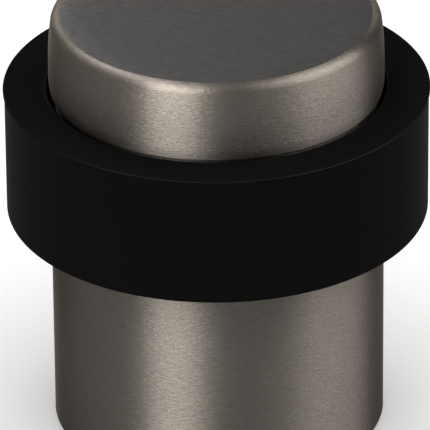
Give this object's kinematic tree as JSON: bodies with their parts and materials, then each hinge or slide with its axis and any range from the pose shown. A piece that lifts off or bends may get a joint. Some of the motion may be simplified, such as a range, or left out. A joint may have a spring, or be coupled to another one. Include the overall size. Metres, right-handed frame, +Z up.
{
  "type": "floor door stop",
  "caption": "Round floor door stop: a turned satin metal post with a rounded rim, a thick black rubber buffer ring below its top, and a tapped hole in the base for a floor fixing.",
  "frame": {"origin": "centre of the base, on the floor", "axes": "+Z up along the post's axis; X and Y are free, because the part is round"},
  "size_m": [0.0382, 0.0382, 0.04],
  "materials": {
    "satin_metal": "satin, brushed round the wall and straight across the top",
    "black_rubber": "moulded, matt"
  },
  "bodies": {
    "root": {"post": "satin_metal", "buffer_ring": "black_rubber"}
  },
  "joints": []
}
